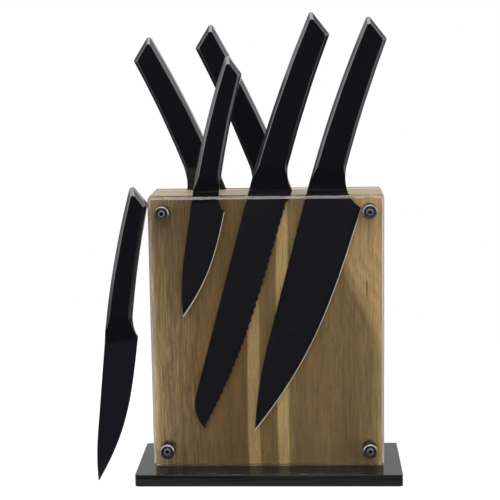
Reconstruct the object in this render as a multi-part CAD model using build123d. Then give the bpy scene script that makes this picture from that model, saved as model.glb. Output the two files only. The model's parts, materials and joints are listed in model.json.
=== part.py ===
"""Two-sided knife block with clear slot guards and six knives.

A laminated wooden board stands on a black plinth. A clear panel is held off
each broad face by spacers, and the blades hang in the two slots that this
leaves, drawn to magnets behind the thin facings. A sixth knife leans outside.

Millimetres. The origin is the centre of the footprint on the surface that the
block stands on, +Z is up, the front is -Y and the right-hand side is +X.
"""
import os
from math import atan2, cos, degrees, radians, sin, tan

from build123d import *

# ---- plinth and its non-slip pad ----
base_reach = 14.4           # past each end of the wooden block
base_depth = 89.0
base_thickness = 9.4
base_corner_radius = 2.0
base_edge_chamfer = 0.3
pad_thickness = 0.6
pad_inset = 1.2

# ---- laminated wooden block ----
block_width = 188.2
block_height = 225.0
core_thickness = 30.0
facing_thickness = 5.0
wood_edge_radius = 1.5
facing_edge_chamfer = 0.2

# ---- magnets behind the facings ----
magnet_length = 44.0
magnet_height = 16.0
magnet_thickness = 6.0
magnet_columns = 3
magnet_rows = 2
magnet_column_pitch = 52.0
magnet_row_pitch = 62.0
magnet_drop = 63.0          # block top down to the upper row
magnet_clearance = 0.2

# ---- clear guards ----
slot_gap = 7.0
panel_lift = 4.0            # plinth to the guard's lower edge
panel_thickness = 5.0
panel_corner_radius = 2.5
panel_edge_chamfer = 2.0

# ---- guard fixings ----
fixing_side_inset = 11.6    # panel's side edges to screw axis
fixing_end_inset = 12.7     # panel's upper and lower edges to screw axis
screw_diameter = 3.0
screw_head_diameter = 5.6
screw_head_height = 3.0
screw_head_chamfer = 0.3
socket_width = 2.5          # across the flats of the hexagon
socket_depth = 1.5
screw_hole_clearance = 0.3
thread_fit = 0.05
cup_diameter = 11.8         # cup washer that the screw head sits in
cup_height = 4.4
cup_floor = 1.4
cup_recess_diameter = 8.8
cup_chamfer = 0.8
spacer_diameter = 12.0
insert_diameter = 6.0
insert_length = 12.0
insert_flange_diameter = 8.4
insert_flange_thickness = 1.0

# ---- screws up through the plinth ----
base_screw_count = 3
base_screw_pitch = 70.0
base_screw_diameter = 4.5
base_screw_head_diameter = 9.0
base_screw_sink = 0.4       # head face below the underside of the plinth
base_screw_length = 34.0
base_screw_recess_width = 3.0
base_screw_recess_depth = 2.0

# ---- sizes shared by all the knives ----
blade_thickness = 2.2
blade_edge_thickness = 0.6  # behind the cutting bevel, at the heel
cutting_bevel = 0.4
bolster_slope = 18.5        # degrees, end of the handle against square
bolster_thickness = 2.8
blade_to_wood = 0.4
tang_width = 11.0
tang_thickness = 1.5
tang_setback = 5.0          # spine to the near side of the tang
tang_share = 0.6            # of the handle's length
butt_slant = 14.5           # sharp peak down to the lower corner of the butt
butt_corner_radius = 2.0
flat_corner_radius = 2.4     # same corners on the flat of the handle
handle_chamfer = 2.6
taper_run = 0.12            # sideways for each mm where the handle starts to swell
edge_lead = 0.375           # share of the blade's length that each end's direction holds
choil_steepness = 2.2       # start of the choil's curve, against its chord
grind_margin = 6.0

# ---- large handle ----
large_thickness = 16.0
large_butt_drop = 11.3
large_butt_width = 30.6     # spine line to the lower corner of the butt
large_waist = 25.2
large_waist_height = 31.0
large_taper = 24.0

# ---- small handle ----
small_thickness = 15.0
small_butt_drop = 11.3
small_butt_width = 25.5
small_waist = 20.3
small_waist_height = 25.0
small_taper = 22.0

# ---- chef's knife, front slot ----
chef_blade_length = 200.0
chef_heel_height = 45.2
chef_bolster_width = 31.0
chef_choil = 10.4
chef_handle_length = 148.3
chef_spine_straight = 125.0
chef_tip_drop = 7.6
chef_heel_angle = 2.6
chef_tip_angle = 23.5
chef_tilt = 14.8
chef_heel_clearance = 0.3   # heel to the upper right-hand spacer
chef_rise = 0.7

# ---- bread knife, front slot ----
bread_blade_length = 208.0
bread_bolster_width = 33.4
bread_handle_length = 152.0
bread_spine_straight = 172.0
bread_tip_drop = 14.2
bread_heel_angle = 2.5
bread_tip_angle = 14.0
bread_tilt = 15.2
bread_spacing = 46.5        # spine to spine along the top of the block
bread_rise = 1.6
scallop_pitch = 6.4
scallop_depth = 1.4
scallop_start = 9.0         # heel to the first scallop
scallop_grind = 24.0        # degrees, ground face against the blade's edge

# ---- paring knife, front slot ----
paring_blade_length = 90.0
paring_heel_height = 27.1
paring_bolster_width = 20.8
paring_choil = 9.9
paring_handle_length = 122.2
paring_spine_straight = 43.0
paring_tip_drop = 6.0
paring_heel_angle = 3.5
paring_tip_angle = 26.0
paring_tilt = 8.9
paring_spacing = 45.4
paring_rise = -6.2
paring_stand_off = 3.1      # facing to the knife's middle plane

# ---- carving knife, rear slot ----
carving_blade_length = 200.0
carving_bolster_width = 30.5
carving_handle_length = 139.7
carving_spine_straight = 140.0
carving_tip_drop = 8.0
carving_heel_angle = 1.5
carving_tip_angle = 14.0
carving_tilt = 21.0
carving_inset = 48.1        # from the upper fixing, seen from behind
carving_rise = 1.0

# ---- santoku, rear slot ----
santoku_blade_length = 178.0
santoku_heel_height = 44.0
santoku_bolster_width = 31.0
santoku_choil = 10.4
santoku_handle_length = 149.8
santoku_spine_straight = 122.0
santoku_tip_drop = 30.0
santoku_heel_angle = 0.8
santoku_tip_angle = 9.0
santoku_tilt = 21.0
santoku_spacing = 54.4
santoku_rise = 1.0

# ---- utility knife, leaning on the front guard's left-hand edge ----
utility_blade_length = 124.5
utility_bolster_width = 26.5
utility_handle_length = 131.8
utility_spine_straight = 75.0
utility_tip_drop = 3.6
utility_heel_angle = 1.5
utility_tip_angle = 25.0
utility_tilt = 6.0
lean_clearance = 0.3
tip_clearance = 0.2

# ---- levels and planes worked out from the sizes above ----
base_length = block_width + 2 * base_reach
base_top = pad_thickness + base_thickness
block_top = base_top + block_height
block_thickness = core_thickness + 2 * facing_thickness
wood_face = block_thickness / 2
panel_width = block_width
panel_height = block_height - panel_lift
panel_inner_face = wood_face + slot_gap
panel_outer_face = panel_inner_face + panel_thickness
panel_middle = block_top - panel_height / 2
fixing_x = panel_width / 2 - fixing_side_inset
fixing_z = panel_height / 2 - fixing_end_inset
screw_seat = panel_outer_face + cup_floor
screw_length = cup_floor + panel_thickness + slot_gap + insert_length
blade_plane = wood_face + blade_to_wood + blade_thickness / 2


def save(shape, name):
    """Write one sub-part as one STEP file."""
    shape.label = name
    export_step(shape, f"parts/{name}.step")


# ------------------------------------------------------------------ block

def fixing_places():
    """The four screw axes of a guard, as points in the plane of the panel."""
    return [(sx * fixing_x, panel_middle + sz * fixing_z) for sz in (1, -1) for sx in (-1, 1)]


def rod(radius, start, end):
    """A cylinder along +Y from one y to another, centred on the axis."""
    return Pos(0, (start + end) / 2, 0) * Rot(90, 0, 0) * Cylinder(radius, end - start)


def at_fixings(shape):
    """Separate copies of a front-side shape at the four fixings of a guard."""
    return [Pos(x, 0, z) * shape for x, z in fixing_places()]


def to_rear(shape):
    """The same piece on the rear side, turned about the vertical."""
    return Rot(0, 0, 180) * shape


def base_plate():
    plate = Box(base_length, base_depth, base_thickness)
    plate = Pos(0, 0, pad_thickness + base_thickness / 2) * plate
    plate = fillet(plate.edges().filter_by(Axis.Z), base_corner_radius)
    plate = chamfer(plate.faces().sort_by(Axis.Z)[-1].edges(), base_edge_chamfer)
    head_radius = base_screw_head_diameter / 2
    sink = Cone(head_radius, base_screw_diameter / 2, head_radius - base_screw_diameter / 2)
    sink_height = pad_thickness + base_screw_sink + (head_radius - base_screw_diameter / 2) / 2
    for x in base_screw_places():
        plate -= Pos(x, 0, sink_height) * sink
        plate -= Pos(x, 0, pad_thickness + base_screw_sink / 2) * Cylinder(head_radius, base_screw_sink)
        plate -= Pos(x, 0, base_top - base_thickness / 2) * Cylinder(
            base_screw_diameter / 2, base_thickness)
    return plate


def base_screw_places():
    first = -(base_screw_count - 1) / 2 * base_screw_pitch
    return [first + i * base_screw_pitch for i in range(base_screw_count)]


def base_screw():
    """Countersunk wood screw with a hexagon recess, head down, at x = 0."""
    head_radius = base_screw_head_diameter / 2
    shank_radius = base_screw_diameter / 2 - thread_fit
    bottom = pad_thickness + base_screw_sink
    head_height = head_radius - base_screw_diameter / 2
    profile = Polyline(
        (0, bottom),
        (head_radius - thread_fit, bottom),
        (shank_radius, bottom + head_height),
        (shank_radius, bottom + base_screw_length - shank_radius),
        (0, bottom + base_screw_length),
        close=True,
    )
    screw = revolve(Plane.XZ * make_face(profile), Axis.Z)
    recess = extrude(RegularPolygon(base_screw_recess_width / 2, 6, major_radius=False),
                     base_screw_recess_depth)
    return screw - Pos(0, 0, bottom) * recess


def magnet_places():
    """Centres of the magnets on one face, as points in its plane."""
    first_x = -(magnet_columns - 1) / 2 * magnet_column_pitch
    return [(first_x + i * magnet_column_pitch, block_top - magnet_drop - j * magnet_row_pitch)
            for j in range(magnet_rows) for i in range(magnet_columns)]


def core_board():
    """Middle layer: magnet pockets in both faces, holes for inserts and screws."""
    board = Pos(0, 0, base_top + block_height / 2) * Box(block_width, core_thickness, block_height)
    ends = board.edges().filter_by(Axis.Y)
    board = fillet(ends, wood_edge_radius)
    pocket = Box(magnet_length + 2 * magnet_clearance, magnet_thickness + magnet_clearance,
                 magnet_height + 2 * magnet_clearance)
    depth = core_thickness / 2 - (magnet_thickness + magnet_clearance) / 2
    for x, z in magnet_places():
        for side in (-1, 1):
            board -= Pos(x, side * depth, z) * pocket
    hole = rod(insert_diameter / 2, -core_thickness / 2, insert_length - wood_face)
    for place in at_fixings(hole):
        board -= place
        board -= to_rear(place)
    pilot_depth = base_screw_length + base_screw_sink + pad_thickness - base_top
    for x in base_screw_places():
        board -= Pos(x, 0, base_top + pilot_depth / 2) * Cylinder(base_screw_diameter / 2, pilot_depth)
    return board


def front_facing():
    """Thin outer layer that covers the magnets."""
    middle = -(core_thickness + facing_thickness) / 2
    board = Pos(0, middle, base_top + block_height / 2) * Box(
        block_width, facing_thickness, block_height)
    ends = board.edges().filter_by(Axis.Y)
    board = fillet(ends, wood_edge_radius)
    outer = board.faces().sort_by(Axis.Y)[0]
    board = chamfer(outer.edges(), facing_edge_chamfer)
    hole = rod(insert_diameter / 2, -wood_face, -core_thickness / 2)
    mouth = rod(insert_flange_diameter / 2, -wood_face, -wood_face + insert_flange_thickness)
    for place in at_fixings(hole + mouth):
        board -= place
    return board


def magnets():
    """Bar magnets of the front face, each a separate solid."""
    bar = Box(magnet_length, magnet_thickness, magnet_height)
    middle = -core_thickness / 2 + magnet_thickness / 2
    return [Pos(x, middle, z) * bar for x, z in magnet_places()]


def front_panel():
    middle = -(panel_inner_face + panel_thickness / 2)
    panel = Pos(0, middle, panel_middle) * Box(panel_width, panel_thickness, panel_height)
    panel = fillet(panel.edges().filter_by(Axis.Y), panel_corner_radius)
    faces = panel.faces().sort_by(Axis.Y)
    panel = chamfer(faces[0].edges() + faces[-1].edges(), panel_edge_chamfer)
    hole = rod(screw_diameter / 2 + screw_hole_clearance, -panel_outer_face, -panel_inner_face)
    for place in at_fixings(hole):
        panel -= place
    return panel


def panel_screw():
    """Low cap screw with a hexagon socket, on the axis x = 0, z = 0."""
    head = rod(screw_head_diameter / 2, -screw_seat - screw_head_height, -screw_seat)
    head = chamfer(head.edges().group_by(Axis.Y)[0], screw_head_chamfer)
    shank = rod(screw_diameter / 2 - thread_fit, -screw_seat, -screw_seat + screw_length)
    socket = extrude(RegularPolygon(socket_width / 2, 6, major_radius=False), socket_depth)
    socket = Pos(0, -screw_seat - screw_head_height, 0) * Rot(-90, 0, 0) * socket
    return head + shank - socket


def cup_washer():
    """Deep washer whose rim stands round the screw head."""
    rim = -panel_outer_face - cup_height
    cup = rod(cup_diameter / 2, rim, -panel_outer_face)
    cup = chamfer(cup.edges().group_by(Axis.Y)[0], cup_chamfer)
    cup -= rod(cup_recess_diameter / 2, rim, -screw_seat)
    return cup - rod(screw_diameter / 2, -screw_seat, -panel_outer_face)


def panel_spacer():
    sleeve = rod(spacer_diameter / 2, -panel_inner_face, -wood_face)
    return sleeve - rod(screw_diameter / 2, -panel_inner_face, -wood_face)


def threaded_insert():
    body = rod(insert_diameter / 2 - thread_fit, -wood_face, -wood_face + insert_length)
    flange = rod(insert_flange_diameter / 2 - thread_fit, -wood_face,
                 -wood_face + insert_flange_thickness)
    return body + flange - rod(screw_diameter / 2, -wood_face, -wood_face + insert_length)


# ----------------------------------------------------------------- knives
# Each knife is drawn upright with its tip down: the spine is the line x = 0,
# the cutting edge faces +X, and z = 0 where the handle starts on the spine.

def bolster_height(width):
    return width * tan(radians(bolster_slope))


def flat(edges):
    """A face in the plane y = 0 from edges drawn with x across and y along."""
    return Plane.XZ * make_face(edges)


def handle_outline(length, bolster_width, butt_drop, butt_width, waist, waist_height,
                   inset, corner_radius):
    """Side view of a handle, or of its flat, which lies inside by the facets' width."""
    start = (0, 0)
    peak = (butt_drop, length)
    corner = (butt_width, length - butt_slant)
    neck = (waist, waist_height)
    bolster = (bolster_width, bolster_height(bolster_width))
    outline = make_face([
        TangentArc(start, peak, tangent=(0, 1)),
        Line(peak, corner),
        TangentArc(neck, corner, tangent=(0, 1)),
        TangentArc(neck, bolster, tangent=(0, -1)),
        Line(bolster, start),
    ])
    if inset:
        outline = offset(outline, -inset, kind=Kind.INTERSECTION)
    butt = outline.vertices().sort_by(Axis.Y)[-2:]
    return Plane.XZ * fillet(butt, corner_radius)


def taper_envelope(length, thickness, taper):
    """Top view of a handle swept along the bolster line: it thins to the blade."""
    end = bolster_thickness / 2
    side = thickness / 2
    far = length + 2 * side
    profile = make_face([
        Line((-end, 0), (end, 0)),
        Spline((end, 0), (side, taper), tangents=[(taper_run, 1), (0, 1)]),
        Line((side, taper), (side, far)),
        Line((side, far), (-side, far)),
        Line((-side, far), (-side, taper)),
        Spline((-side, taper), (-end, 0), tangents=[(0, -1), (taper_run, -1)]),
    ])
    reach = 2 * length
    body = extrude(Plane.YZ * profile, reach, both=True)
    return Rot(0, -bolster_slope, 0) * body


def make_handle(length, bolster_width, thickness, butt_drop, butt_width,
                waist, waist_height, taper):
    """Faceted grip: a straight middle between two bevelled sides, thinned at the bolster."""
    sizes = (length, bolster_width, butt_drop, butt_width, waist, waist_height)
    outline = handle_outline(*sizes, inset=0, corner_radius=butt_corner_radius)
    side = handle_outline(*sizes, inset=handle_chamfer, corner_radius=flat_corner_radius)
    shoulder = thickness / 2 - handle_chamfer
    facets = loft([Pos(0, -shoulder, 0) * outline, Pos(0, -thickness / 2, 0) * side], ruled=True)
    body = extrude(outline, shoulder, both=True) + facets + mirror(facets, about=Plane.XZ)
    body = body & taper_envelope(length, thickness, taper)
    return body - tang(length)


def make_large_handle(length, bolster_width):
    return make_handle(length, bolster_width, large_thickness, large_butt_drop,
                       large_butt_width, large_waist, large_waist_height, large_taper)


def make_small_handle(length, bolster_width):
    return make_handle(length, bolster_width, small_thickness, small_butt_drop,
                       small_butt_width, small_waist, small_waist_height, small_taper)


def tang(handle_length):
    """Flat tongue of the blade that runs up inside the handle."""
    low = bolster_height(tang_setback) - tang_width
    high = handle_length * tang_share
    bar = Box(tang_width, tang_thickness, high - low)
    return Pos(tang_setback + tang_width / 2, 0, (low + high) / 2) * bar


def cutting_edge(tip, heel, length, heel_angle, tip_angle):
    """The edge seen from the side, from the tip up to the heel."""
    lead = edge_lead * length
    return Bezier(
        tip,
        (tip[0] + lead * tan(radians(tip_angle)), tip[1] + lead),
        (heel[0] - lead * tan(radians(heel_angle)), heel[1] - lead),
        heel,
    )


def blade_outline(length, heel, bolster_width, spine_straight, tip_drop,
                  heel_angle, tip_angle, inset):
    """Side view of a blade. The inset draws the cutting edge back by the bevel."""
    turn = (0, -spine_straight)
    tip = (tip_drop, heel[1] - length)
    drop = TangentArc(turn, tip, tangent=(0, -1))
    if inset:
        point_angle = tip_angle + 2 * degrees(atan2(tip_drop, turn[1] - tip[1]))
        back = inset / sin(radians(point_angle))
        inner = drop.position_at(1 - back / drop.length)
        tip = (inner.X, inner.Y)
        drop = TangentArc(turn, tip, tangent=(0, -1))
    bolster = (bolster_width, bolster_height(bolster_width))
    cutting_heel = (heel[0] - inset, heel[1])
    edges = [Line((0, 0), turn), drop]
    if heel[0] == bolster_width:
        cutting_heel = (bolster_width - inset, bolster_height(bolster_width - inset))
        edges.append(Line(cutting_heel, (0, 0)))
    else:
        chord = (cutting_heel[0] - bolster[0], cutting_heel[1] - bolster[1])
        neck = TangentArc(bolster, cutting_heel, tangent=(chord[0], choil_steepness * chord[1]))
        edges += [Line(bolster, (0, 0)), neck]
    edges.append(cutting_edge(tip, cutting_heel, length, heel_angle, tip_angle))
    return flat(edges)


def grind(length, heel_height):
    """Wedge that thins the blade from its spine to its edge."""
    spine = blade_thickness / 2
    edge = blade_edge_thickness / 2
    slope = (spine - edge) / heel_height
    near = -grind_margin
    far = heel_height + grind_margin
    section = make_face(Polyline(
        (near, -spine), (0, -spine), (far, -spine + slope * far),
        (far, spine - slope * far), (0, spine), (near, spine), close=True))
    return extrude(section, 2 * length, both=True)


def make_blade(length, heel_height, bolster_width, choil, handle_length,
               spine_straight, tip_drop, heel_angle, tip_angle):
    heel = (heel_height, bolster_height(bolster_width) - choil)
    sizes = (length, heel, bolster_width, spine_straight, tip_drop, heel_angle, tip_angle)
    middle = blade_outline(*sizes, inset=0)
    side = blade_outline(*sizes, inset=cutting_bevel * blade_thickness / blade_edge_thickness)
    half = loft([middle, Pos(0, -blade_thickness / 2, 0) * side], ruled=True)
    blade = half + mirror(half, about=Plane.XZ)
    blade = blade & grind(length, heel_height)
    return blade + tang(handle_length)


def scalloped(blade, length, heel_height, tip_drop, heel_angle, tip_angle):
    """Grind a row of hollow scallops into the far side of the cutting edge."""
    heel = (heel_height, bolster_height(heel_height))
    tip = (tip_drop, heel[1] - length)
    edge = cutting_edge(tip, heel, length, heel_angle, tip_angle)
    half_chord = scallop_pitch / 2
    radius = (half_chord ** 2 + scallop_depth ** 2) / (2 * scallop_depth)
    spread = blade_thickness * tan(radians(90 - scallop_grind)) / 2
    wheel = Rot(90, 0, 0) * Cone(radius + spread, radius, blade_thickness)
    count = int((edge.length - scallop_start) / scallop_pitch)
    for i in range(count):
        along = 1 - (scallop_start + (i + 0.5) * scallop_pitch) / edge.length
        point = edge.position_at(along)
        way = edge.tangent_at(along)
        out = Vector(way.Y, -way.X)
        centre = point + out * (radius - scallop_depth)
        blade -= Pos(centre.X, 0, centre.Y) * wheel
    return blade


def across(x, z, tilt):
    """How far right of the spine's end a point of an upright knife lies once it is tilted."""
    return x * cos(radians(tilt)) + z * sin(radians(tilt))


def front_places():
    """Where the spines of the chef's, bread and paring knives leave their handles."""
    heel = across(chef_heel_height, bolster_height(chef_bolster_width) - chef_choil, chef_tilt)
    chef = fixing_x - spacer_diameter / 2 - chef_heel_clearance - heel
    bread = chef - bread_spacing
    return chef, bread, bread - paring_spacing


def rear_places():
    """The same for the carving knife and the santoku, seen from behind."""
    carving = fixing_x - carving_inset
    return carving, carving - santoku_spacing


def in_front(knife, x, rise, tilt, plane=blade_plane):
    """Hang a knife in the front slot, its spine meeting the handle at x."""
    return Pos(x, -plane, block_top + rise) * Rot(0, tilt, 0) * knife


def in_rear(knife, x, rise, tilt):
    """The same in the rear slot, seen from behind."""
    return to_rear(in_front(knife, x, rise, tilt))


def leaning(blade, handle):
    """Stand a knife on its tip, its handle against the left-hand edge of the front guard."""
    blade = Rot(0, utility_tilt, 0) * blade
    handle = Rot(0, utility_tilt, 0) * handle
    lift = tip_clearance - blade.bounding_box().min.Z
    below = Box(2 * panel_width, 2 * panel_width, 2 * block_height)
    below = Pos(0, 0, block_top - panel_corner_radius - block_height - lift) * below
    reach = (handle & below).bounding_box().max.X
    place = Pos(
        -panel_width / 2 - lean_clearance - reach,
        -(panel_inner_face + panel_thickness / 2),
        lift,
    )
    return place * blade, place * handle


# ------------------------------------------------------------------ build

def build_block():
    save(base_plate(), "base_plate")
    pad = Box(base_length - 2 * pad_inset, base_depth - 2 * pad_inset, pad_thickness)
    pad = Pos(0, 0, pad_thickness / 2) * pad
    save(fillet(pad.edges().filter_by(Axis.Z), base_corner_radius), "non_slip_pad")
    save(Compound(children=[Pos(x, 0, 0) * base_screw() for x in base_screw_places()]), "base_screws")
    save(core_board(), "core_board")
    save(front_facing(), "front_facing")
    save(to_rear(front_facing()), "rear_facing")
    save(Compound(children=magnets()), "front_magnets")
    save(Compound(children=[to_rear(bar) for bar in magnets()]), "rear_magnets")
    save(front_panel(), "front_panel")
    save(to_rear(front_panel()), "rear_panel")
    for name, piece in (("screws", panel_screw()), ("washers", cup_washer()),
                        ("spacers", panel_spacer()), ("inserts", threaded_insert())):
        copies = at_fixings(piece)
        save(Compound(children=copies), f"front_{name}")
        save(Compound(children=[to_rear(copy) for copy in copies]), f"rear_{name}")


def build_knives():
    chef_x, bread_x, paring_x = front_places()
    carving_x, santoku_x = rear_places()

    chef_blade = make_blade(chef_blade_length, chef_heel_height, chef_bolster_width, chef_choil,
                            chef_handle_length, chef_spine_straight, chef_tip_drop,
                            chef_heel_angle, chef_tip_angle)
    chef_handle = make_large_handle(chef_handle_length, chef_bolster_width)
    for name, piece in (("blade", chef_blade), ("handle", chef_handle)):
        save(in_front(piece, chef_x, chef_rise, chef_tilt), f"chef_knife_{name}")

    bread_blade = make_blade(bread_blade_length, bread_bolster_width, bread_bolster_width, 0,
                             bread_handle_length, bread_spine_straight, bread_tip_drop,
                             bread_heel_angle, bread_tip_angle)
    bread_blade = scalloped(bread_blade, bread_blade_length, bread_bolster_width, bread_tip_drop,
                            bread_heel_angle, bread_tip_angle)
    bread_handle = make_large_handle(bread_handle_length, bread_bolster_width)
    for name, piece in (("blade", bread_blade), ("handle", bread_handle)):
        save(in_front(piece, bread_x, bread_rise, bread_tilt), f"bread_knife_{name}")

    paring_blade = make_blade(paring_blade_length, paring_heel_height, paring_bolster_width,
                              paring_choil, paring_handle_length, paring_spine_straight,
                              paring_tip_drop, paring_heel_angle, paring_tip_angle)
    paring_handle = make_small_handle(paring_handle_length, paring_bolster_width)
    paring_plane = wood_face + paring_stand_off
    for name, piece in (("blade", paring_blade), ("handle", paring_handle)):
        piece = in_front(piece, paring_x, paring_rise, paring_tilt, paring_plane)
        save(piece, f"paring_knife_{name}")

    carving_blade = make_blade(carving_blade_length, carving_bolster_width, carving_bolster_width,
                               0, carving_handle_length, carving_spine_straight,
                               carving_tip_drop, carving_heel_angle, carving_tip_angle)
    carving_handle = make_large_handle(carving_handle_length, carving_bolster_width)
    for name, piece in (("blade", carving_blade), ("handle", carving_handle)):
        save(in_rear(piece, carving_x, carving_rise, carving_tilt), f"carving_knife_{name}")

    santoku_blade = make_blade(santoku_blade_length, santoku_heel_height, santoku_bolster_width,
                               santoku_choil, santoku_handle_length, santoku_spine_straight,
                               santoku_tip_drop, santoku_heel_angle, santoku_tip_angle)
    santoku_handle = make_large_handle(santoku_handle_length, santoku_bolster_width)
    for name, piece in (("blade", santoku_blade), ("handle", santoku_handle)):
        save(in_rear(piece, santoku_x, santoku_rise, santoku_tilt), f"santoku_knife_{name}")

    utility_blade = make_blade(utility_blade_length, utility_bolster_width, utility_bolster_width,
                               0, utility_handle_length, utility_spine_straight,
                               utility_tip_drop, utility_heel_angle, utility_tip_angle)
    utility_handle = make_small_handle(utility_handle_length, utility_bolster_width)
    utility_blade, utility_handle = leaning(utility_blade, utility_handle)
    save(utility_blade, "utility_knife_blade")
    save(utility_handle, "utility_knife_handle")


os.makedirs("parts", exist_ok=True)
build_block()
build_knives()
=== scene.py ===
import json
from math import radians

import bpy
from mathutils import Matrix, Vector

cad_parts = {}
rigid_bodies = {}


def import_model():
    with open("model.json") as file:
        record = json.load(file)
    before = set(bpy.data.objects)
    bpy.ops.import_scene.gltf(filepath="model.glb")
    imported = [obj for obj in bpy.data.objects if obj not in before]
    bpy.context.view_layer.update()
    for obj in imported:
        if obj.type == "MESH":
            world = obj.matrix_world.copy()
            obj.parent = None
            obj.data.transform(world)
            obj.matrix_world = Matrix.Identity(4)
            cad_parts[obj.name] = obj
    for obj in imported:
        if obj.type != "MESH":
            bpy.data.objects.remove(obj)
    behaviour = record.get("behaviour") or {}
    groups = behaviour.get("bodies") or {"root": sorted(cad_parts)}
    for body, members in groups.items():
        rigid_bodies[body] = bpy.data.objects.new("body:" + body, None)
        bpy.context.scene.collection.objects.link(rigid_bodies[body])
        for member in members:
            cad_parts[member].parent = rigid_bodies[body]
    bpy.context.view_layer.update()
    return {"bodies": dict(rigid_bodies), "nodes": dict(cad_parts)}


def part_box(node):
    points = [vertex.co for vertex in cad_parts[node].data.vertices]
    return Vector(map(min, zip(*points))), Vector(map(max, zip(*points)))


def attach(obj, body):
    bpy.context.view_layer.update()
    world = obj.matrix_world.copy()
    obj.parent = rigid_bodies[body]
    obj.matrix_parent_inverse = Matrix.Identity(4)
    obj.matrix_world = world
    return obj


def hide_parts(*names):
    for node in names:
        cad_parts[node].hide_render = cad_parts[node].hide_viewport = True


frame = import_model()
print("frame loaded:", len(frame["nodes"]), "nodes")


def linear(hexColour):
    channels = [int(hexColour[i:i + 2], 16) / 255 for i in (0, 2, 4)]
    return tuple(c / 12.92 if c <= 0.04045 else ((c + 0.055) / 1.055) ** 2.4 for c in channels) + (1,)


def addNode(tree, kind, sockets=None, **settings):
    # one shader node with its settings; a socket takes a value, an output, or a node for its first output.
    # Map Range goes from sockets 1 and 2 to sockets 3 and 4, and Mix goes by 0 from colour 6 to colour 7
    node = tree.nodes.new("ShaderNode" + kind)
    for name, value in settings.items():
        setattr(node, name, value)
    for socket, value in (sockets or {}).items():
        if isinstance(value, bpy.types.Node):
            value = value.outputs[0]
        if isinstance(value, bpy.types.NodeSocket):
            tree.links.new(value, node.inputs[socket])
        else:
            node.inputs[socket].default_value = value
    return node


def newMaterial(name):
    material = bpy.data.materials.new(name)
    material.use_nodes = True
    tree = material.node_tree
    tree.nodes.clear()
    # object coordinates turned into millimetres, so each pattern is written at its real size
    place = addNode(tree, "TexCoord").outputs["Object"]
    return material, tree, addNode(tree, "Mapping", {"Vector": place, "Scale": (1000, 1000, 1000)})


noiseLow, noiseHigh = 0.3, 0.7       # a cloudy pattern runs from 0 to 1, but seldom leaves this span
seedWay = (1.0, 1.7, 0.6)            # which way a seed moves it


def streaks(tree, millimetres, size, detail=2.0, seed=0.0):
    # a cloudy pattern whose grains are size = (x, y, z) millimetres long
    shrunk = addNode(tree, "Mapping", {"Vector": millimetres, "Scale": [1 / s for s in size],
                                       "Location": [seed * s for s in seedWay]})
    return addNode(tree, "TexNoise", {"Vector": shrunk, "Scale": 1.0, "Detail": detail})


def mottled(tree, marks, tones, low=noiseLow, high=noiseHigh):
    # the first tone where the marks are weak, the second where they are strong
    share = addNode(tree, "MapRange", {0: marks, 1: low, 2: high, 3: 0.0, 4: 1.0})
    weak, strong = linear(tones[0]), linear(tones[1])
    return addNode(tree, "Mix", {0: share, 6: weak, 7: strong}, data_type="RGBA").outputs[2]


def squareness(tree):
    # how squarely a face looks to the front or back: 1 for the broad faces, 0 for the edges
    normal = addNode(tree, "NewGeometry").outputs["True Normal"]
    frontal = addNode(tree, "SeparateXYZ", {0: normal}).outputs["Y"]
    return addNode(tree, "Math", {0: frontal}, operation="ABSOLUTE")


def dress(material, *names):
    for name in names:
        mesh = frame["nodes"][name].data
        mesh.materials.clear()
        mesh.materials.append(material)


# the camera looks slightly down on the front, from a little to the right of the middle
cameraShot = {"place": (0.0365, -1.1327, 0.3671), "turn": (80.982, 0.850, 2.427), "lens": 100.8, "sensor": 36,
              "nearest": 0.02}
bpy.ops.object.select_all(action="DESELECT")
bpy.ops.object.camera_add(location=cameraShot["place"], rotation=[radians(a) for a in cameraShot["turn"]])
camera = bpy.context.object
camera.data.lens = cameraShot["lens"]
camera.data.sensor_width = cameraShot["sensor"]
camera.data.clip_start = cameraShot["nearest"]
bpy.context.scene.camera = camera
bpy.context.scene.view_settings.view_transform = "Standard"

# soft boxes, metres and watts: (width, height), power, place, turn in degrees
softBoxes = {
    "leftBox": ((0.45, 0.9), 3.7, (-0.72, -0.22, 0.46), (90, 0, -73)),
    "rightBox": ((0.45, 0.9), 3.3, (0.72, -0.22, 0.46), (90, 0, 73)),
    "topBox": ((1.8, 1.6), 28, (0, -0.3, 1.7), (10, 0, 0)),
    "frontBox": ((1.0, 0.7), 7.5, (0.25, -1.6, 1.5), (52, 0, 8)),
}
for name, (size, power, place, turn) in softBoxes.items():
    bpy.ops.object.light_add(type="AREA", location=place, rotation=[radians(a) for a in turn])
    lamp = bpy.context.object
    lamp.name = name
    lamp.data.shape = "RECTANGLE"
    lamp.data.size, lamp.data.size_y = size
    lamp.data.energy = power
    lamp.visible_camera = False


def whereSeen(tree):
    # seen: straight to the eye or through clear acrylic; bounced: what a surface mirrors or bends
    path = addNode(tree, "LightPath").outputs
    unmirrored = addNode(tree, "Math", {0: path["Glossy Depth"], 1: 0.5}, operation="LESS_THAN")
    bent = path["Is Transmission Ray"]
    through = addNode(tree, "Math", {0: bent, 1: unmirrored}, operation="MULTIPLY")
    seen = addNode(tree, "Math", {0: path["Is Camera Ray"], 1: through}, operation="MAXIMUM")
    bounced = addNode(tree, "Math", {0: path["Is Glossy Ray"], 1: bent}, operation="MAXIMUM")
    return seen, bounced


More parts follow.
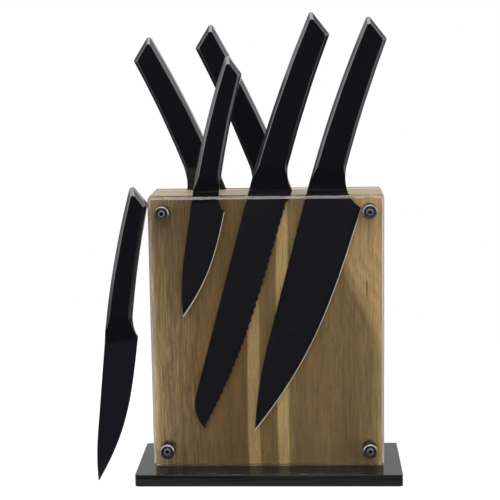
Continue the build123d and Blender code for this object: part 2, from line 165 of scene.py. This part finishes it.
room = {
    "skyLight": 0.42,                # what the pale room gives from all sides
    "backdrop": 1.0,                 # white, to the eye and in mirrors
    "behindCamera": 0.02,            # the dark end of the room, as polished faces mirror it
    "darkEnd": (-0.85, -0.35),       # how far forward a mirrored ray looks: -1 is straight at the camera
    # tall reflectors between camera and sides, which polished ridges mirror as a fine line
    "reflector": {"from": (-0.92, -0.84), "to": (-0.52, -0.44), "strength": 7.0},
}
world = bpy.data.worlds.new("studioRoom")
bpy.context.scene.world = world
world.use_nodes = True
tree = world.node_tree
tree.nodes.clear()
white = (1, 1, 1, 1)
seen, bounced = whereSeen(tree)
direction = addNode(tree, "TexCoord").outputs["Generated"]
forward = addNode(tree, "SeparateXYZ", {0: direction}).outputs["Y"]
(start, full), (fall, end) = room["reflector"]["from"], room["reflector"]["to"]
rising = addNode(tree, "MapRange", {0: forward, 1: start, 2: full, 3: 0.0, 4: 1.0})
falling = addNode(tree, "MapRange", {0: forward, 1: fall, 2: end, 3: room["reflector"]["strength"], 4: 0.0})
reflector = addNode(tree, "Math", {0: rising, 1: falling}, operation="MULTIPLY")
darkest, palest = room["darkEnd"]
walls = addNode(tree, "MapRange", {0: forward, 1: darkest, 2: palest,
                                   3: room["behindCamera"], 4: room["backdrop"]})
mirrored = addNode(tree, "Math", {0: walls, 1: reflector}, operation="ADD")
ambient = addNode(tree, "Background", {"Color": white, "Strength": room["skyLight"]})
gloss = addNode(tree, "Background", {"Color": white, "Strength": mirrored})
backdrop = addNode(tree, "Background", {"Color": white, "Strength": room["backdrop"]})
lit = addNode(tree, "MixShader", {0: bounced, 1: ambient, 2: gloss})
addNode(tree, "OutputWorld", {"Surface": addNode(tree, "MixShader", {0: seen, 1: lit, 2: backdrop})})

floorSheet = {
    "size": 6.0,
    "albedo": "9a9a98",
    "glow": 0.74,                    # lit from behind, so that matt paper shows white
    # polished faces mirror a pale strip of floor between these lines, and dark floor before and behind it
    "mirrorFront": (-0.075, -0.05),
    "mirrorRear": (0.08, 0.11),
    "mirrorDark": 0.03,
    "fade": (0.30, 0.60),            # shadows end here and the sheet runs into the backdrop
}
bpy.ops.object.select_all(action="DESELECT")
bpy.ops.mesh.primitive_plane_add(size=floorSheet["size"])
floor = bpy.context.object
floor.name = "studioFloor"
paper, tree, millimetres = newMaterial("whitePaperSweep")    # uncoated paper off a roll: matt and even
seen, bounced = whereSeen(tree)
point = addNode(tree, "TexCoord").outputs["Object"]
depth = addNode(tree, "SeparateXYZ", {0: point}).outputs["Y"]
dark = floorSheet["mirrorDark"]
(frontDark, frontPale), (rearPale, rearDark) = floorSheet["mirrorFront"], floorSheet["mirrorRear"]
frontLine = addNode(tree, "MapRange", {0: depth, 1: frontDark, 2: frontPale, 3: dark, 4: 1.0})
rearLine = addNode(tree, "MapRange", {0: depth, 1: rearPale, 2: rearDark, 3: 1.0, 4: dark})
paleStrip = addNode(tree, "Math", {0: frontLine, 1: rearLine}, operation="MULTIPLY")
reach = addNode(tree, "VectorMath", {0: point}, operation="LENGTH").outputs["Value"]
near, far = floorSheet["fade"]
glow = addNode(tree, "MapRange", {0: reach, 1: near, 2: far, 3: floorSheet["glow"], 4: 1.0})
fade = addNode(tree, "MapRange", {0: reach, 1: near, 2: far, 3: 0.0, 4: 1.0})
matt = addNode(tree, "BsdfDiffuse", {"Color": linear(floorSheet["albedo"])})
nothing = addNode(tree, "BsdfDiffuse", {"Color": (0, 0, 0, 1)})
shine = addNode(tree, "Emission", {"Color": white, "Strength": glow})
shown = addNode(tree, "AddShader", {0: addNode(tree, "MixShader", {0: fade, 1: matt, 2: nothing}), 1: shine})
mirroredPaper = addNode(tree, "MixShader", {0: paleStrip, 1: nothing, 2: shown})
lit = addNode(tree, "MixShader", {0: bounced, 1: matt, 2: mirroredPaper})
addNode(tree, "OutputMaterial", {"Surface": addNode(tree, "MixShader", {0: seen, 1: lit, 2: shown})})
floor.data.materials.append(paper)
print("studio ready")

frontBoard = {
    "seed": 3.1,
    # how far across the board, in millimetres, and the tone of the stave there. The palest tones at the two
    # outer edges are partly sapwood and partly a painted highlight along the board's rounded edges
    "staves": [(-94, "c8b598"), (-91, "ae9872"), (-88, "9a835f"), (-82, "8b7656"), (-75, "8a7455"),
               (-71, "7f694c"), (-56, "7c6543"), (-36, "6d5839"), (-17, "6d5738"), (-16, "ad946b"),
               (-7, "af9868"), (-6, "796442"), (7.5, "796443"), (8.5, "b9a272"), (16.5, "b79e70"),
               (18, "816d4c"), (30, "766143"), (50, "7b6645"), (70, "766344"), (84, "7f6b4a"),
               (89, "947f5a"), (94, "b49d70")],
    # golden wood on the right of a line that swings in from the edge: (height, across) at its two ends.
    # Its border is soft, and has rings beside it that are a pitch apart and fade out over their reach
    "golden": {"tone": "b0946a", "low": (95, 95), "high": (205, 58), "border": (-8, 6), "ringPitch": 7,
               "ringReach": (-45, -3), "ringDepth": 0.07, "wobble": ((25, 25, 60), 5)},
    # the left stave, and still more its pale edge, darken between two heights
    "dusk": [{"edge": -50, "soft": 8, "low": 110, "high": 232, "share": 0.82},
             {"edge": -86, "soft": 3, "low": 128, "high": 178, "share": 0.84}],
    "resinStreak": {"place": (80.5, 158), "size": (0.7, 9), "soft": (0.6, 1.2), "shade": 0.35},
}
rearBoard = {
    "seed": 11.7,
    "staves": [(-93.5, "a28d69"), (-88, "80704f"), (-60, "705d41"), (-42, "6b573d"), (-41, "917d56"),
               (-32, "907c55"), (-31, "655339"), (-4, "6c5a3e"), (10, "776448"), (34, "705d41"),
               (35, "887450"), (47, "86724e"), (48, "6a5840"), (80, "726044"), (93.5, "a08b65")],
}
coreBoard = {
    "seed": 23.3,
    "staves": [(-93.5, "a08c69"), (-60, "8d7855"), (-20, "8a7451"), (20, "917b58"), (60, "8a7552"),
               (93.5, "a08b66")],
}
# acacia's own marks, each with its size in millimetres (x, y, z) and how it darkens and lightens the stave
grain = {
    "rings": ((6, 6, 180), 0.88, 1.10),
    "bands": ((1.7, 1.7, 50), 0.89, 1.12),
    "figure": ((9, 9, 30), 0.95, 1.05),
    "fibres": ((0.7, 0.7, 14), 0.83, 1.17),      # real fibres are finer; as coarse as they need to show
    "patches": ((38, 38, 70), 0.94, 1.06),
    "coarseStave": {"edge": (-62, -44), "power": (1.8, 0.85)},    # the left stave has the strongest grain
    # the grain leans, and its streaks wander: size of the waves and how far they push, both in millimetres
    "lean": ((90, 90, 110), 1.6),
    "wander": ((5, 5, 30), 0.45),
    # the tone drifts between olive and reddish
    "warmth": {"size": (4, 4, 45), "olive": (1.01, 1.02, 1.05, 1), "reddish": (1.06, 1.015, 1.08, 1)},
    "pores": {"size": (0.6, 0.6, 4.5), "edge": (0.63, 0.71), "shade": 0.72},
    # top faces: end-grain lines, in tones made paler partly as painted light from above
    "endGrainTopLit": {"size": (45, 0.9, 5), "tones": ("81725d", "a19279"), "upward": (0.55, 0.8)},
    # the span over which each pattern reaches its full strength: the narrower, the harder its contrast
    "span": {"push": (0.2, 0.8), "warmth": (0.35, 0.65), "marks": (0.34, 0.66), "endGrainTopLit": (0.35, 0.65)},
    "halfWidth": 95,                             # the staves' tones are laid out to this far each side
    "relief": 0.25,
    "reliefDepth": 0.0001,
    "roughness": 0.5,
    "specular": 0.15,                            # oil leaves a low sheen
}


def goldenCorner(tree, millimetres, board, colour, across, up):
    # a golden corner with rings along its border, a stave that darkens upwards, and a thin streak of resin
    golden, streak = board["golden"], board["resinStreak"]
    (lowUp, lowAcross), (highUp, highAcross) = golden["low"], golden["high"]
    line = addNode(tree, "MapRange", {0: up, 1: lowUp, 2: highUp, 3: lowAcross, 4: highAcross},
                   interpolation_type="SMOOTHSTEP")
    past = addNode(tree, "Math", {0: across, 1: line}, operation="SUBTRACT")
    inner, outer = golden["border"]
    share = addNode(tree, "MapRange", {0: past, 1: inner, 2: outer, 3: 0, 4: 1},
                    interpolation_type="SMOOTHSTEP")
    tone = linear(golden["tone"])
    colour = addNode(tree, "Mix", {0: share, 6: colour, 7: tone}, data_type="RGBA").outputs[2]
    size, push = golden["wobble"]
    waves = streaks(tree, millimetres, size, detail=1.0, seed=board["seed"] + 6)
    wobble = addNode(tree, "MapRange", {0: waves, 1: noiseLow, 2: noiseHigh, 3: -push, 4: push})
    away = addNode(tree, "Math", {0: past, 1: wobble}, operation="ADD")
    turn = addNode(tree, "Math", {0: away, 1: radians(360) / golden["ringPitch"]}, operation="MULTIPLY")
    ring = addNode(tree, "Math", {0: turn}, operation="SINE")
    outermost, innermost = golden["ringReach"]
    depth = addNode(tree, "MapRange", {0: past, 1: outermost, 2: innermost, 3: 0, 4: golden["ringDepth"]})
    drawn = addNode(tree, "Math", {0: ring, 1: depth, 2: 1.0}, operation="MULTIPLY_ADD")
    for dusky in board["dusk"]:
        left, right, most = dusky["edge"] - dusky["soft"], dusky["edge"] + dusky["soft"], 1 - dusky["share"]
        beside = addNode(tree, "MapRange", {0: across, 1: left, 2: right, 3: 1, 4: 0},
                         interpolation_type="SMOOTHSTEP")
        raised = addNode(tree, "MapRange", {0: up, 1: dusky["low"], 2: dusky["high"], 3: 0, 4: most},
                         interpolation_type="SMOOTHSTEP")
        loss = addNode(tree, "Math", {0: beside, 1: raised}, operation="MULTIPLY")
        kept = addNode(tree, "Math", {0: 1.0, 1: loss}, operation="SUBTRACT")
        drawn = addNode(tree, "Math", {0: drawn, 1: kept}, operation="MULTIPLY")
    (streakX, streakZ), (width, length) = streak["place"], streak["size"]
    squeezed = addNode(tree, "Mapping", {"Vector": millimetres, "Scale": (1 / width, 0, 1 / length),
                                         "Location": (-streakX / width, 0, -streakZ / length)})
    offCentre = addNode(tree, "VectorMath", {0: squeezed}, operation="LENGTH").outputs["Value"]
    core, rim = streak["soft"]
    resin = addNode(tree, "MapRange", {0: offCentre, 1: core, 2: rim, 3: streak["shade"], 4: 1.0})
    shade = addNode(tree, "Math", {0: drawn, 1: resin}, operation="MULTIPLY")
    grey = addNode(tree, "CombineColor", {0: shade, 1: shade, 2: shade})
    return addNode(tree, "Mix", {0: 1.0, 6: colour, 7: grey}, data_type="RGBA",
                   blend_type="MULTIPLY").outputs[2]


def acacia(name, board):
    # flat-sawn acacia staves, glued, sanded and oiled: brown streaks, pale sapwood, open pores, a low sheen
    material, tree, millimetres = newMaterial(name)
    seed = board["seed"]
    # the fibres lean and wander a little as they run up the board
    pushes = []
    low, high = grain["span"]["push"]
    for mark, offset in (("lean", 0), ("wander", 9)):
        size, push = grain[mark]
        waves = streaks(tree, millimetres, size, detail=1.0, seed=seed + offset)
        pushes.append(addNode(tree, "MapRange", {0: waves, 1: low, 2: high, 3: -push, 4: push}))
    sideways = addNode(tree, "Math", {0: pushes[0], 1: pushes[1]}, operation="ADD")
    shift = addNode(tree, "CombineXYZ", {0: sideways})
    along = addNode(tree, "VectorMath", {0: millimetres, 1: shift})
    place = addNode(tree, "SeparateXYZ", {0: millimetres}).outputs
    across = addNode(tree, "Math", {0: place["X"], 1: pushes[0]}, operation="ADD")
    halfWidth = grain["halfWidth"]
    share = addNode(tree, "MapRange", {0: across, 1: -halfWidth, 2: halfWidth, 3: 0, 4: 1})
    ramp = addNode(tree, "ValToRGB", {0: share})
    stops = ramp.color_ramp.elements
    for position, tone in board["staves"]:
        stops.new((position + halfWidth) / (2 * halfWidth)).color = linear(tone)
    stops.remove(stops[0])
    stops.remove(stops[-1])
    colour = ramp.outputs[0]
    if "golden" in board:
        colour = goldenCorner(tree, millimetres, board, colour, across, place["Z"])
    warmth = grain["warmth"]
    low, high = grain["span"]["warmth"]
    waves = streaks(tree, along, warmth["size"], detail=3.0, seed=seed + 7)
    drift = addNode(tree, "MapRange", {0: waves, 1: low, 2: high, 3: 0.0, 4: 1.0})
    olive, reddish = warmth["olive"], warmth["reddish"]
    tint = addNode(tree, "Mix", {0: drift, 6: olive, 7: reddish}, data_type="RGBA").outputs[2]
    colour = addNode(tree, "Mix", {0: 1.0, 6: colour, 7: tint}, data_type="RGBA",
                     blend_type="MULTIPLY").outputs[2]
    shade = 1.0
    (left, right), (strong, weak) = grain["coarseStave"]["edge"], grain["coarseStave"]["power"]
    coarse = addNode(tree, "MapRange", {0: place["X"], 1: left, 2: right, 3: strong, 4: weak})
    low, high = grain["span"]["marks"]
    for offset, mark in enumerate(("rings", "bands", "figure", "fibres", "patches"), 1):
        size, dark, light = grain[mark]
        waves = streaks(tree, along, size, seed=seed + offset)
        wave = addNode(tree, "MapRange", {0: waves, 1: low, 2: high, 3: dark, 4: light})
        if mark in ("bands", "fibres"):
            wave = addNode(tree, "Math", {0: wave, 1: coarse}, operation="POWER")
        shade = addNode(tree, "Math", {0: shade, 1: wave}, operation="MULTIPLY")
    pores = grain["pores"]
    closed, opened = pores["edge"]
    holes = streaks(tree, along, pores["size"], detail=1.0, seed=seed + 8)
    poreShade = addNode(tree, "MapRange", {0: holes, 1: closed, 2: opened, 3: 1.0, 4: pores["shade"]})
    poreDepth = addNode(tree, "MapRange", {0: holes, 1: closed, 2: opened, 3: 0.0, 4: 1.0})
    shade = addNode(tree, "Math", {0: shade, 1: poreShade}, operation="MULTIPLY")
    grey = addNode(tree, "CombineColor", {0: shade, 1: shade, 2: shade})
    colour = addNode(tree, "Mix", {0: 1.0, 6: colour, 7: grey}, data_type="RGBA",
                     blend_type="MULTIPLY").outputs[2]
    # the top faces take the end grain's fine lines along the board, and a paler tone that is partly painted
    # light from the lamp above
    endGrainTopLit = grain["endGrainTopLit"]
    upward = addNode(tree, "SeparateXYZ", {0: addNode(tree, "NewGeometry").outputs["Normal"]}).outputs["Z"]
    leaning, level = endGrainTopLit["upward"]
    onTop = addNode(tree, "MapRange", {0: upward, 1: leaning, 2: level, 3: 0.0, 4: 1.0})
    endLines = streaks(tree, millimetres, endGrainTopLit["size"], seed=seed + 6)
    topLitEndColour = mottled(tree, endLines, endGrainTopLit["tones"], *grain["span"]["endGrainTopLit"])
    colour = addNode(tree, "Mix", {0: onTop, 6: colour, 7: topLitEndColour}, data_type="RGBA").outputs[2]
    height = addNode(tree, "Math", {0: shade, 1: poreDepth}, operation="SUBTRACT")
    bump = addNode(tree, "Bump", {"Strength": grain["relief"], "Distance": grain["reliefDepth"],
                                  "Height": height})
    wood = addNode(tree, "BsdfPrincipled", {"Base Color": colour, "Roughness": grain["roughness"],
                                            "Specular IOR Level": grain["specular"], "Normal": bump})
    addNode(tree, "OutputMaterial", {"Surface": wood})
    return material


dress(acacia("acaciaFrontOiled", frontBoard), "front_facing")
dress(acacia("acaciaRearOiled", rearBoard), "rear_facing")
dress(acacia("acaciaCoreOiled", coreBoard), "core_board")
print("boards dressed")

plinth = {"tones": ("080808", "252424"), "grain": (60, 1.3, 1.3), "span": (0.38, 0.66), "relief": 0.25,
          "reliefDepth": 0.0001, "roughness": 0.18, "specular": 0.18}
# open-pored oak veneer under satin black lacquer: faint long grain
lacquer, tree, millimetres = newMaterial("blackLacqueredOak")
lines = streaks(tree, millimetres, plinth["grain"], detail=3.0, seed=5.0)
colour = mottled(tree, lines, plinth["tones"], *plinth["span"])
bump = addNode(tree, "Bump", {"Strength": plinth["relief"], "Distance": plinth["reliefDepth"],
                              "Height": lines})
satin = addNode(tree, "BsdfPrincipled", {"Base Color": colour, "Roughness": plinth["roughness"],
                                         "Specular IOR Level": plinth["specular"], "Normal": bump})
addNode(tree, "OutputMaterial", {"Surface": satin})
dress(lacquer, "base_plate")

padFoam = {"cell": 0.8, "tones": ("232323", "343434"), "span": (0.1, 0.7), "relief": 0.5,
           "reliefDepth": 0.0001, "roughness": 0.85, "specular": 0.3}
# closed-cell EVA foam, die cut: dull, with small round cells
foam, tree, millimetres = newMaterial("evaFoamPad")
cells = addNode(tree, "TexVoronoi", {"Vector": millimetres, "Scale": 1 / padFoam["cell"]})
colour = mottled(tree, cells, padFoam["tones"], *padFoam["span"])
bump = addNode(tree, "Bump", {"Strength": padFoam["relief"], "Distance": padFoam["reliefDepth"],
                              "Height": cells})
dull = addNode(tree, "BsdfPrincipled", {"Base Color": colour, "Roughness": padFoam["roughness"],
                                        "Specular IOR Level": padFoam["specular"], "Normal": bump})
addNode(tree, "OutputMaterial", {"Surface": dull})
dress(foam, "non_slip_pad")
print("plinth dressed")

guard = {
    "tint": "fbfaf6",
    "shadowTint": "f5f4ef",          # what light keeps on its way through to the board
    "ior": 1.49,
    "edgeTone": "ddd0c2",
    "topHaze": 0.09,                 # the saw's haze left on the upper edge
    "sideHaze": 0.35,                # and on the upright ones
    "edgeRoughness": (0.1, 0.22),    # lower edge, other edges
    "smear": ((30, 30, 30), 0.004),  # wiping leaves the broad faces just short of clear
    "edgeFrom": (0.9, 0.8),          # a face that looks less squarely to the front than this is an edge
    "topFrom": 0.3,                  # an upper one if its normal points this far up
    "sideFrom": 0.5,                 # an upright one if it points this far aside
    "lowerFrom": (-0.2, -0.5),       # a lower one if it points this far down
}
# cast acrylic sheet: clear broad faces, and bevelled edges polished to a haze
acrylic, tree, millimetres = newMaterial("castAcrylicClear")
broad, bevelled = guard["edgeFrom"]
edge = addNode(tree, "MapRange", {0: squareness(tree), 1: broad, 2: bevelled, 3: 0.0, 4: 1.0})
side = addNode(tree, "NewGeometry").outputs
normal = addNode(tree, "SeparateXYZ", {0: side["True Normal"]}).outputs
outwards = addNode(tree, "MapRange", {0: side["Backfacing"], 1: 0.0, 2: 1.0, 3: 1.0, 4: -1.0})
upward = addNode(tree, "Math", {0: normal["Z"], 1: outwards}, operation="MULTIPLY")
sideways = addNode(tree, "Math", {0: normal["X"]}, operation="ABSOLUTE")
# the haze lies on the outside of an edge face alone
onTop = addNode(tree, "Math", {0: upward, 1: guard["topFrom"]}, operation="GREATER_THAN")
onSide = addNode(tree, "Math", {0: sideways, 1: guard["sideFrom"]}, operation="GREATER_THAN")
topHaze = addNode(tree, "Math", {0: onTop, 1: guard["topHaze"]}, operation="MULTIPLY")
sideHaze = addNode(tree, "Math", {0: onSide, 1: guard["sideHaze"]}, operation="MULTIPLY")
anyHaze = addNode(tree, "Math", {0: topHaze, 1: sideHaze}, operation="MAXIMUM")
outside = addNode(tree, "Math", {0: outwards, 1: 0.0}, operation="MAXIMUM")
hazeOutside = addNode(tree, "Math", {0: anyHaze, 1: outside}, operation="MULTIPLY")
hazy = addNode(tree, "Math", {0: hazeOutside, 1: edge}, operation="MULTIPLY")
size, strength = guard["smear"]
wiped = streaks(tree, millimetres, size, seed=8.0)
smear = addNode(tree, "MapRange", {0: wiped, 1: noiseLow, 2: noiseHigh, 3: 0.0, 4: strength})
level, downward = guard["lowerFrom"]
lower, other = guard["edgeRoughness"]
polish = addNode(tree, "MapRange", {0: upward, 1: downward, 2: level, 3: lower, 4: other})
edgePolish = addNode(tree, "Math", {0: edge, 1: polish}, operation="MULTIPLY")
roughness = addNode(tree, "Math", {0: edgePolish, 1: smear}, operation="ADD")
clear = addNode(tree, "BsdfPrincipled", {"Base Color": linear(guard["tint"]), "IOR": guard["ior"],
                                         "Transmission Weight": 1.0, "Roughness": roughness})
haze = addNode(tree, "BsdfDiffuse", {"Color": linear(guard["edgeTone"])})
sheet = addNode(tree, "MixShader", {0: hazy, 1: clear, 2: haze})
path = addNode(tree, "LightPath").outputs
passing = addNode(tree, "Math", {0: path["Is Shadow Ray"], 1: path["Is Diffuse Ray"]}, operation="MAXIMUM")
unseen = addNode(tree, "BsdfTransparent", {"Color": linear(guard["shadowTint"])})
addNode(tree, "OutputMaterial", {"Surface": addNode(tree, "MixShader", {0: passing, 1: sheet, 2: unseen})})
dress(acrylic, "front_panel", "rear_panel")
print("guards dressed")

# the socket's recess is painted near-black: painted shade in the hollow of each screw head
hexSocketShade = {"headRadius": 2.8, "radius": 1.5, "soft": 0.1, "tone": "0c0c0e"}
# the finish of each kind of fitting, with the size of its surface's marks in millimetres as its grit
fittings = {
    # black nickel over turned brass: dark, with a soft grey shine along its bevelled rim
    "blackNickelTurned": {"tones": ("5f5d59", "706e6a"), "roughness": 0.34, "grit": 0.6,
                          "pieces": ("front_washers", "rear_washers", "front_spacers", "rear_spacers")},
    # black oxide over cold-headed steel, worn grey on the head; the near-black in its socket is painted shade
    # in the recess
    "blackOxideHeaded": {"tones": ("56565a", "68686b"), "roughness": 0.45, "grit": 0.5, "metallic": 0.8,
                         "socket": hexSocketShade, "pieces": ("front_screws", "rear_screws")},
    # free-cutting brass, turned and knurled: yellow, with fine turning marks
    "turnedBrass": {"tones": ("b8954c", "c9a75c"), "roughness": 0.3, "grit": 0.5,
                    "pieces": ("front_inserts", "rear_inserts")},
    # zinc plated steel, blue passivated: pale and bright
    "zincPlatedSteel": {"tones": ("a3a7ad", "b9bdc2"), "roughness": 0.33, "grit": 0.6,
                        "pieces": ("base_screws",)},
    # sintered ferrite, ground: dull charcoal grey
    "sinteredFerrite": {"tones": ("2d2d2f", "3b3b3d"), "roughness": 0.6, "grit": 0.9, "metallic": 0.0,
                        "relief": 0.4, "pieces": ("front_magnets", "rear_magnets")},
}
roughnessSpread = (0.85, 1.15)       # how much smoother and rougher the marks make a fitting in places
fittingRelief, fittingReliefDepth = 0.15, 0.00005


def inSocket(tree, millimetres, socket):
    # 1 within the hexagon's radius of each of the four fixings, which lie at the corners of the screws' box
    low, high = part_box("front_screws")
    right, bottom, top = high[0] * 1000, low[2] * 1000, high[2] * 1000
    place = addNode(tree, "SeparateXYZ", {0: millimetres}).outputs
    fromCentre = addNode(tree, "Math", {0: place["X"]}, operation="ABSOLUTE")
    sideways = addNode(tree, "Math", {0: fromCentre, 1: right - socket["headRadius"]}, operation="SUBTRACT")
    raised = addNode(tree, "Math", {0: place["Z"], 1: (bottom + top) / 2}, operation="SUBTRACT")
    fromMiddle = addNode(tree, "Math", {0: raised}, operation="ABSOLUTE")
    halfHeight = (top - bottom) / 2 - socket["headRadius"]
    upwards = addNode(tree, "Math", {0: fromMiddle, 1: halfHeight}, operation="SUBTRACT")
    offAxis = addNode(tree, "CombineXYZ", {0: sideways, 1: upwards})
    radius = addNode(tree, "VectorMath", {0: offAxis}, operation="LENGTH").outputs["Value"]
    inner, outer = socket["radius"], socket["radius"] + socket["soft"]
    return addNode(tree, "MapRange", {0: radius, 1: inner, 2: outer, 3: 1.0, 4: 0.0})


def fittingMaterial(name, finish):
    # fine marks that vary the tone and the shine; a socket's near-black is painted shade in the recess of
    # each screw's head
    material, tree, millimetres = newMaterial(name)
    grit, socket = finish["grit"], finish.get("socket")
    marks = streaks(tree, millimetres, (grit, grit, grit), detail=3.0, seed=2.0)
    colour = mottled(tree, marks, finish["tones"])
    if socket:
        share, dark = inSocket(tree, millimetres, socket), linear(socket["tone"])
        colour = addNode(tree, "Mix", {0: share, 6: colour, 7: dark}, data_type="RGBA").outputs[2]
    smoothest, roughest = [finish["roughness"] * spread for spread in roughnessSpread]
    dull = addNode(tree, "MapRange", {0: marks, 1: noiseLow, 2: noiseHigh, 3: smoothest, 4: roughest})
    bump = addNode(tree, "Bump", {"Strength": finish.get("relief", fittingRelief),
                                  "Distance": fittingReliefDepth, "Height": marks})
    solid = addNode(tree, "BsdfPrincipled", {"Base Color": colour, "Metallic": finish.get("metallic", 1.0),
                                             "Roughness": dull, "Normal": bump})
    addNode(tree, "OutputMaterial", {"Surface": solid})
    return material


for name, finish in fittings.items():
    dress(fittingMaterial(name, finish), *finish["pieces"])
print("fittings dressed")

blade = {
    "coat": ("0c0c12", "13131b"),
    "blast": (0.7, 0.7, 0.7),        # real bead blasting is finer; as coarse as it needs to show
    "relief": 0.03,
    "reliefDepth": 0.00005,
    "coatRoughness": 0.42,
    "coatSpecular": 0.1,
    "bright": {"tones": ("f0edea", "fcfaf8"), "metallic": 0.35},     # the edge ground bare; its near-white diffuse share is partly a painted highlight for the glint along the bevel
    "dark": {"tones": ("111115", "16161b"), "metallic": 0.0},        # ground, and coated again
    "scratches": (0.5, 0.5, 0.5),
    "groundRoughness": 0.35,
    "groundSpecular": 0.2,
    "bevel": (0.7, 0.95),            # the ground bevel looks neither straight out nor along the blade
}


def coatedSteel(name, edge):
    # bead-blasted stainless with a baked black coat, and its own finish on the ground edge
    material, tree, millimetres = newMaterial(name)
    blast = streaks(tree, millimetres, blade["blast"], seed=4.0)
    bump = addNode(tree, "Bump", {"Strength": blade["relief"], "Distance": blade["reliefDepth"],
                                  "Height": blast})
    coated = addNode(tree, "BsdfPrincipled", {"Base Color": mottled(tree, blast, blade["coat"]),
                                              "Roughness": blade["coatRoughness"],
                                              "Specular IOR Level": blade["coatSpecular"], "Normal": bump})
    facing = squareness(tree)
    steepest, flattest = blade["bevel"]
    aslant = addNode(tree, "Math", {0: facing, 1: flattest}, operation="LESS_THAN")
    notEdgeOn = addNode(tree, "Math", {0: facing, 1: steepest}, operation="GREATER_THAN")
    bevel = addNode(tree, "Math", {0: aslant, 1: notEdgeOn}, operation="MULTIPLY")
    scratches = streaks(tree, millimetres, blade["scratches"], seed=6.0)
    ground = addNode(tree, "BsdfPrincipled", {"Base Color": mottled(tree, scratches, edge["tones"]),
                                              "Metallic": edge["metallic"],
                                              "Roughness": blade["groundRoughness"],
                                              "Specular IOR Level": blade["groundSpecular"]})
    steel = addNode(tree, "MixShader", {0: bevel, 1: coated, 2: ground})
    addNode(tree, "OutputMaterial", {"Surface": steel})
    return material


dress(coatedSteel("blackCoatBrightEdge", blade["bright"]), "chef_knife_blade", "paring_knife_blade",
      "carving_knife_blade", "santoku_knife_blade")
dress(coatedSteel("blackCoatDarkEdge", blade["dark"]), "bread_knife_blade", "utility_knife_blade")
print("blades dressed")

handle = {
    "tones": ("0c0c10", "121217"),
    "flow": (0.8, 0.8, 0.8),         # the faint marks that the mould leaves, in millimetres
    "relief": 0.003,
    "reliefDepth": 0.00005,
    "roughness": 0.17,
    "roundOver": 0.0008,             # metres, as a modifier takes it
    "roundSteps": 2,
    "mergeWithin": 0.00002,
    "flatWithin": 1.0,               # degrees: faces this close in slope become one
    "ridgeFrom": 18,                 # degrees: a sharper ridge is rounded over
    "smoothUnder": 40,               # degrees: a gentler bend is shaded smooth
    "flatFaceWeight": 100,           # the broad faces stay flat
}
# moulded acetal, polished: deep black, with crisply lit edges
acetal, tree, millimetres = newMaterial("blackAcetalPolished")
flow = streaks(tree, millimetres, handle["flow"], seed=9.0)
bump = addNode(tree, "Bump", {"Strength": handle["relief"], "Distance": handle["reliefDepth"],
                              "Height": flow})
polished = addNode(tree, "BsdfPrincipled", {"Base Color": mottled(tree, flow, handle["tones"]),
                                            "Roughness": handle["roughness"], "Normal": bump})
addNode(tree, "OutputMaterial", {"Surface": polished})


def roundedHandle(knife):
    # the same form as the CAD handle, with each ridge rounded over as the mould and polishing leave it
    bpy.ops.object.select_all(action="DESELECT")
    node = frame["nodes"][knife + "_handle"]
    node.select_set(True)
    bpy.context.view_layer.objects.active = node
    bpy.ops.object.duplicate()
    piece = bpy.context.object
    piece.parent = None
    piece.name = knife.split("_")[0] + "HandleRounded"
    for key in list(piece.keys()):
        del piece[key]
    bpy.ops.object.mode_set(mode="EDIT")
    bpy.ops.mesh.select_all(action="SELECT")
    bpy.ops.mesh.remove_doubles(threshold=handle["mergeWithin"])
    bpy.ops.mesh.dissolve_limited(angle_limit=radians(handle["flatWithin"]))
    bpy.ops.object.mode_set(mode="OBJECT")
    bevel = piece.modifiers.new("roundOver", "BEVEL")
    bevel.width = handle["roundOver"]
    bevel.segments = handle["roundSteps"]
    bevel.limit_method = "ANGLE"
    bevel.angle_limit = radians(handle["ridgeFrom"])
    bpy.ops.object.modifier_apply(modifier=bevel.name)
    bpy.ops.object.shade_smooth_by_angle(angle=radians(handle["smoothUnder"]))
    flatten = piece.modifiers.new("flatFaces", "WEIGHTED_NORMAL")
    flatten.weight = handle["flatFaceWeight"]
    flatten.keep_sharp = True
    bpy.ops.object.modifier_apply(modifier=flatten.name)
    piece.data.materials.clear()
    piece.data.materials.append(acetal)
    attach(piece, knife)
    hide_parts(knife + "_handle")


for body in frame["bodies"]:
    if body != "block":
        roundedHandle(body)
print("handles rounded")
